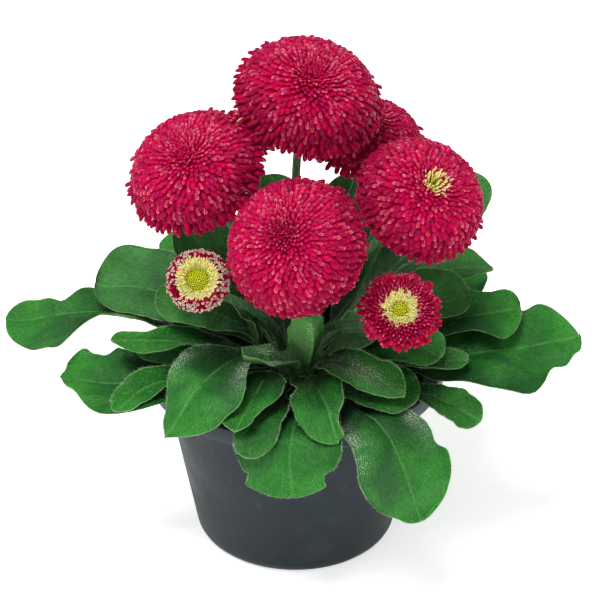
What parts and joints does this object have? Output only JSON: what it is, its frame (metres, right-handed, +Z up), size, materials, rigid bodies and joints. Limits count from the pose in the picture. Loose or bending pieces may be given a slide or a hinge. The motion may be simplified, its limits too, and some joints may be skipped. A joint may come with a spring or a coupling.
{
  "type": "potted english daisy",
  "caption": "Low daisy plant in a round nursery pot: a rosette of spoon-shaped leaves and domed double flower heads on leafless stalks; stands on its flat foot.",
  "frame": {"origin": "centre of the pot's flat foot, on the surface it stands on", "axes": "+Z up along the pot's axis, -Y towards the viewer of the picture, +X to that viewer's right"},
  "size_m": [0.2034, 0.1514, 0.1753],
  "materials": {
    "pot_plastic": "dark slate grey moulded plastic, slightly scuffed",
    "soil": "dark, damp, crumbly potting soil",
    "crown": "pale green, fibrous",
    "leaf": "mid green, finely hairy, satin",
    "stalk": "mid green, finely hairy",
    "red_florets": "crimson petals with paler pink tips, satin",
    "pale_florets": "cream, satin",
    "yellow_disc": "green-yellow, matte"
  },
  "bodies": {
    "root": {"crown": "crown", "disc_7_small_left": "yellow_disc", "disc_8_small_right": "yellow_disc", "eye_4_right": "pale_florets", "eye_6_back_left": "pale_florets", "eye_7_small_left": "pale_florets", "eye_8_small_right": "pale_florets", "florets_1_top": "red_florets", "florets_2_left": "red_florets", "florets_3_front": "red_florets", "florets_4_right": "red_florets", "florets_5_back_right": "red_florets", "florets_6_back_left": "red_florets", "florets_7_small_left": "red_florets", "florets_8_small_right": "red_florets", "leaf_back_left_inner": "leaf", "leaf_back_left_wide": "leaf", "leaf_back_middle": "leaf", "leaf_back_right_inner": "leaf", "leaf_back_right_low": "leaf", "leaf_back_right_raised": "leaf", "leaf_back_right_wide": "leaf", "leaf_front_centre_right": "leaf", "leaf_front_left_large": "leaf", "leaf_front_left_narrow": "leaf", "leaf_front_low_broad": "leaf", "leaf_front_right_dark": "leaf", "leaf_front_right_large": "leaf", "leaf_front_right_upper": "leaf", "leaf_front_small_dark": "leaf", "leaf_heart_back": "leaf", "leaf_heart_left": "leaf", "leaf_heart_right": "leaf", "leaf_heart_upright": "leaf", "leaf_left_broad": "leaf", "leaf_left_far": "leaf", "leaf_left_level": "leaf", "leaf_left_low": "leaf", "leaf_left_narrow": "leaf", "leaf_left_raised": "leaf", "leaf_left_round": "leaf", "leaf_left_under": "leaf", "leaf_right_curled": "leaf", "leaf_right_far": "leaf", "leaf_right_folded": "leaf", "leaf_right_round": "leaf", "leaf_right_small": "leaf", "leaf_right_tuck": "leaf", "leaf_right_upper": "leaf", "pot": "pot_plastic", "soil": "soil", "stalk_1_top": "stalk", "stalk_2_left": "stalk", "stalk_3_front": "stalk", "stalk_4_right": "stalk", "stalk_5_back_right": "stalk", "stalk_6_back_left": "stalk", "stalk_7_small_left": "stalk", "stalk_8_small_right": "stalk"}
  },
  "joints": []
}
